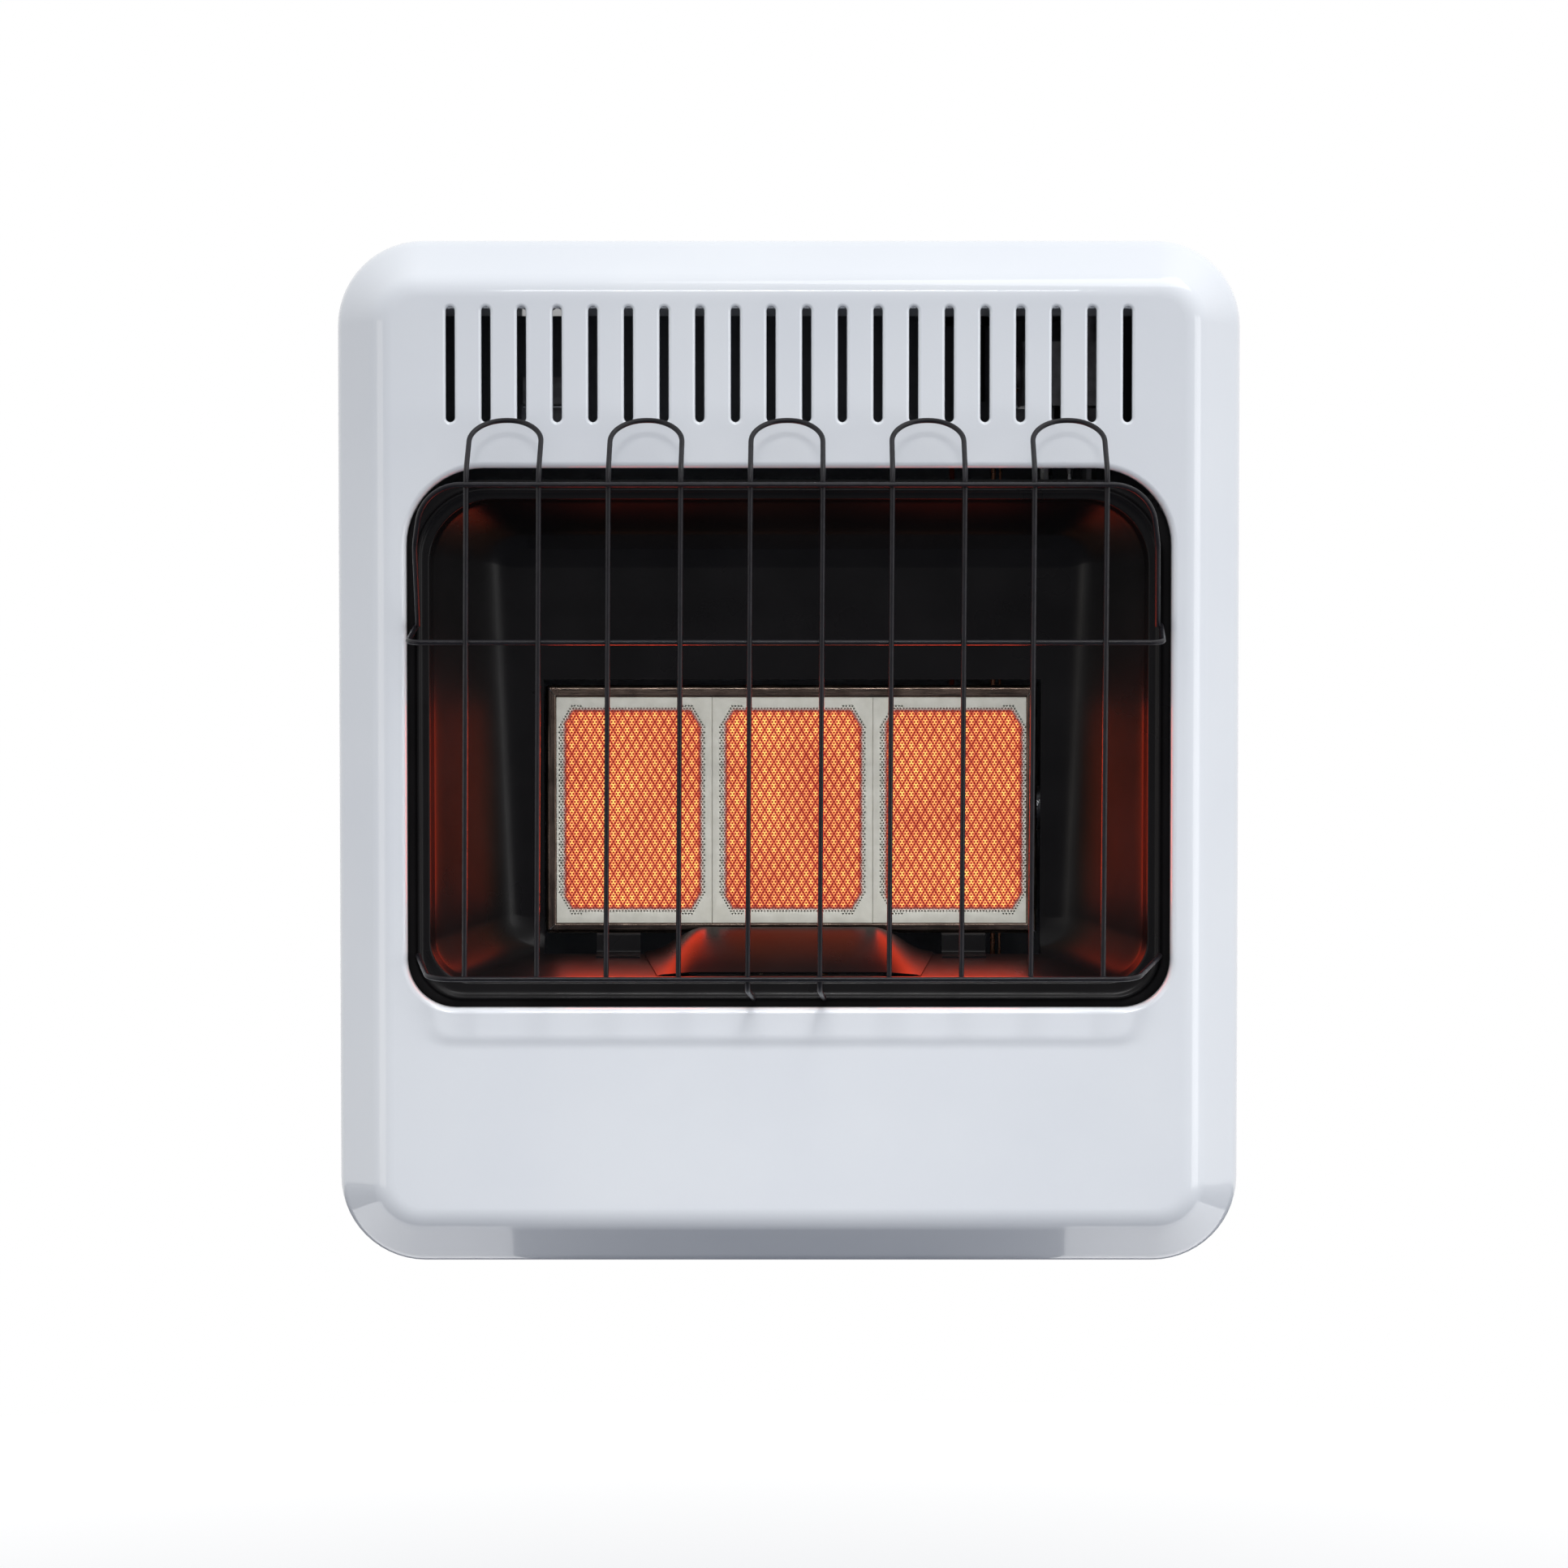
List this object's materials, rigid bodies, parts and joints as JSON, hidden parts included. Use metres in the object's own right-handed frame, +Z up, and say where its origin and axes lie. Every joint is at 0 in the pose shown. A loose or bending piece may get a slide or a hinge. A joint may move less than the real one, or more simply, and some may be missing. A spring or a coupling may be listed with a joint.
{
  "type": "wall mounted gas heater",
  "caption": "Wall mounted gas radiant heater: bevelled steel cabinet with top louvres, black reflector pan, glowing ceramic plaque burner and a wire guard.",
  "frame": {"origin": "midway between the wall bracket's two screw holes, on the wall plane", "axes": "+X to the right seen from the front, +Y into the wall (the front faces -Y), +Z up"},
  "size_m": [0.508, 0.2381, 0.5781],
  "materials": {
    "white_enamel": "baked white enamel, glossy, smooth",
    "casing_paint": "light grey baked paint, semi-gloss",
    "black_enamel": "black porcelain enamel, semi-gloss",
    "guard_black": "dark satin coating on wire",
    "plaque_ceramic": "porous honeycomb ceramic, matt, glowing orange where it burns",
    "ceramic_fibre": "compressed ceramic fibre",
    "bright_steel": "bright stainless strip",
    "zinc_steel": "zinc-plated sheet, faint spangle",
    "die_cast": "die-cast, grainy",
    "aluminium_tube": "drawn tube, satin",
    "brass": "turned brass",
    "copper": "drawn copper",
    "black_plastic": "moulded, fine texture",
    "red_plastic": "moulded, glossy",
    "grey_plastic": "moulded",
    "white_ceramic": "glazed insulator",
    "silicone_lead": "silicone sleeve"
  },
  "bodies": {
    "heater": {"front_cover": "white_enamel", "rear_casing": "casing_paint", "wall_bracket": "zinc_steel", "wall_spacers": "grey_plastic", "control_panel": "casing_paint", "heat_shield": "zinc_steel", "left_baffle": "zinc_steel", "right_baffle": "zinc_steel", "reflector_pan": "black_enamel", "pilot_hood": "black_enamel", "guard_hoops": "guard_black", "guard_top_wire": "guard_black", "guard_middle_wire": "guard_black", "guard_bottom_wire": "guard_black", "plaque_left": "plaque_ceramic", "plaque_middle": "plaque_ceramic", "plaque_right": "plaque_ceramic", "plaque_gasket": "ceramic_fibre", "burner_frame": "bright_steel", "burner_box": "zinc_steel", "mixing_tube": "zinc_steel", "burner_injector": "brass", "burner_bracket_left": "black_enamel", "burner_bracket_right": "black_enamel", "valve_body": "die_cast", "valve_nut": "zinc_steel", "igniter_body": "black_plastic", "igniter_nut": "black_plastic", "ignition_lead": "silicone_lead", "pilot_bracket": "zinc_steel", "pilot_burner": "brass", "pilot_electrode": "white_ceramic", "thermocouple": "copper", "pilot_tube": "aluminium_tube", "thermocouple_lead": "copper", "burner_tube": "aluminium_tube", "supply_tube": "aluminium_tube", "pressure_regulator": "die_cast", "regulator_bracket": "zinc_steel", "inlet_fitting": "brass", "thermostat_bulb": "copper", "bulb_clip": "zinc_steel", "capillary_tube": "copper", "cover_screws": "zinc_steel", "casing_screws": "zinc_steel", "pan_screws": "guard_black"},
    "plunger": {"valve_plunger": "bright_steel"},
    "knob": {"control_knob": "black_plastic", "valve_spindle": "bright_steel"},
    "button": {"igniter_button": "red_plastic"}
  },
  "joints": [
    {"name": "knob_push", "type": "slide", "parent": "heater", "child": "plunger", "axis": [0, 0, -1], "range_m": [0, 0.004], "stiffness_N_per_m": 1500, "springref_m": -0.002},
    {"name": "knob_turn", "type": "hinge", "parent": "plunger", "child": "knob", "pos_m": [0.175, -0.07, 0.04], "axis": [0, 0, 1], "range_deg": [-240, 0]},
    {"name": "igniter_push", "type": "slide", "parent": "heater", "child": "button", "axis": [0, 0, -1], "range_m": [0, 0.007], "stiffness_N_per_m": 1200, "springref_m": -0.003}
  ]
}
